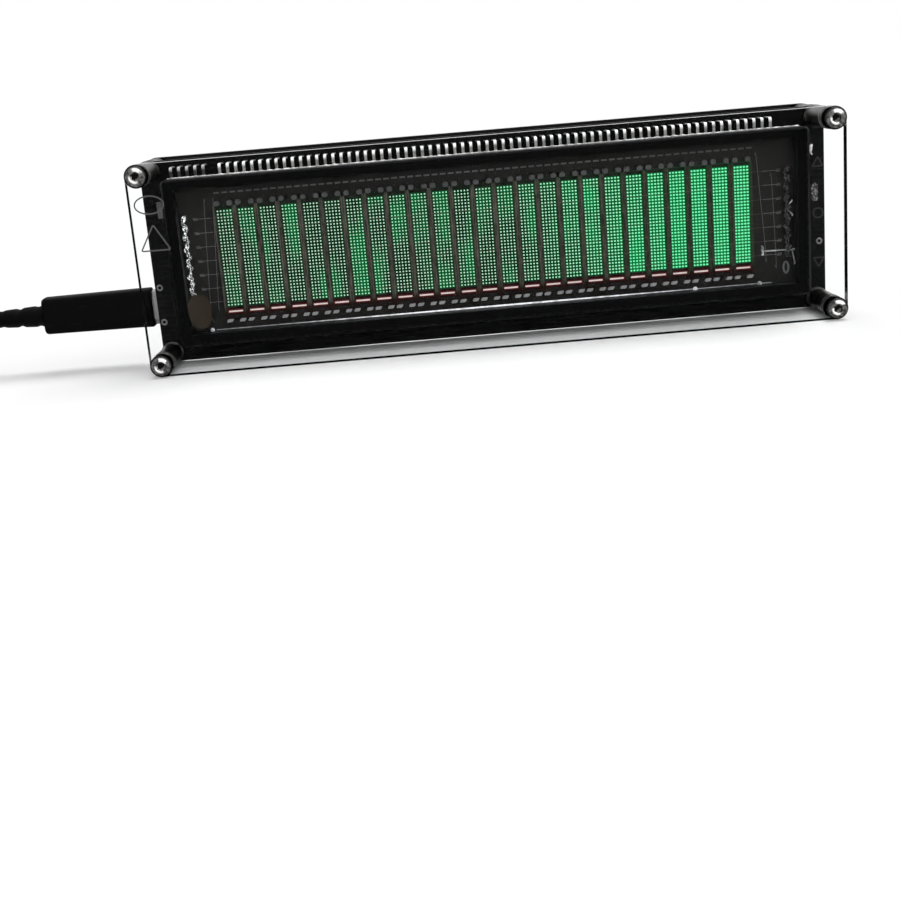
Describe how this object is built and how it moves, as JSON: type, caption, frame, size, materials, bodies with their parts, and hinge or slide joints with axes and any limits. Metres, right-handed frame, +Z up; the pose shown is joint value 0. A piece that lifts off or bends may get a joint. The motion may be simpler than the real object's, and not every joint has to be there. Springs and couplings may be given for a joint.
{
  "type": "music spectrum display",
  "caption": "Desk display with a vacuum fluorescent tube on a circuit board between acrylic panels, which shows sound as glowing columns and is fed by a lead at its side.",
  "frame": {"origin": "middle of the display's footprint, on the surface that it stands on, without the lead", "axes": "+X along the display to its keys, +Y from its front to its back, +Z up"},
  "size_m": [0.3176, 0.0439, 0.0512],
  "materials": {
    "clear_acrylic": "clear, polished faces and edges",
    "edged_acrylic": "clear, polished, with a black border along its edges",
    "black_board": "black solder mask on glass-fibre board",
    "steel": "polished steel",
    "spacer_metal": "turned, nickel plated",
    "tube_glass": "clear smoked glass",
    "tube_back": "black coated glass",
    "seal": "dark glass frit",
    "foam": "adhesive foam",
    "phosphor": "glowing blue-green coating",
    "bar_phosphor": "glowing red coating",
    "tube_metal": "dull nickel-iron sheet and wire",
    "getter_film": "dark brown metal film",
    "tin": "tin plated",
    "black_plastic": "moulded, fine grain",
    "ferrite": "dull ferrite",
    "can_metal": "bright aluminium",
    "ceramic": "fired ceramic",
    "lead_rubber": "matt black flexible plastic",
    "tie_strap": "woven hook-and-loop strap",
    "white_plastic": "moulded insert"
  },
  "bodies": {
    "display": {"front_panel": "clear_acrylic", "rear_panel": "edged_acrylic", "main_board": "black_board", "front_screws": "steel", "rear_screws": "steel", "front_spacers": "spacer_metal", "rear_spacers": "spacer_metal", "front_glass": "tube_glass", "rear_glass": "tube_back", "seal_frame": "seal", "foam_strips": "foam", "display_columns": "phosphor", "column_bars": "bar_phosphor", "control_grids": "tube_metal", "filament_anchor": "tube_metal", "filament_tensioner": "tube_metal", "getter": "tube_metal", "filaments": "tube_metal", "getter_film": "getter_film", "display_pins": "tin", "usb_socket": "tin", "key_domes": "tin", "crystal": "tin", "key_housings": "black_plastic", "socket_tongue": "black_plastic", "controller_chip": "black_plastic", "driver_chips": "black_plastic", "capacitor_bases": "black_plastic", "cell_holder": "black_plastic", "regulator": "black_plastic", "choke": "ferrite", "storage_capacitors": "can_metal", "microphone": "can_metal", "coin_cell": "can_metal", "small_parts": "ceramic"},
    "usb_lead": {"plug_shell": "tin", "plug_grip": "lead_rubber", "plug_sleeve": "lead_rubber", "lead": "lead_rubber", "lead_hank": "lead_rubber", "lead_tie": "tie_strap", "far_lead": "lead_rubber", "far_sleeve": "lead_rubber", "far_grip": "lead_rubber", "far_shell": "tin", "far_insert": "white_plastic"},
    "up_key": {"key_up": "black_plastic"},
    "enter_key": {"key_enter": "black_plastic"},
    "down_key": {"key_down": "black_plastic"}
  },
  "joints": [
    {"name": "plug_slide", "type": "slide", "parent": "display", "child": "usb_lead", "axis": [-1, 0, 0], "range_m": [0, 0.008]},
    {"name": "up_press", "type": "slide", "parent": "display", "child": "up_key", "axis": [-1, 0, 0], "range_m": [0, 0.0003], "stiffness_N_per_m": 1500},
    {"name": "enter_press", "type": "slide", "parent": "display", "child": "enter_key", "axis": [-1, 0, 0], "range_m": [0, 0.0003], "stiffness_N_per_m": 1500},
    {"name": "down_press", "type": "slide", "parent": "display", "child": "down_key", "axis": [-1, 0, 0], "range_m": [0, 0.0003], "stiffness_N_per_m": 1500}
  ]
}
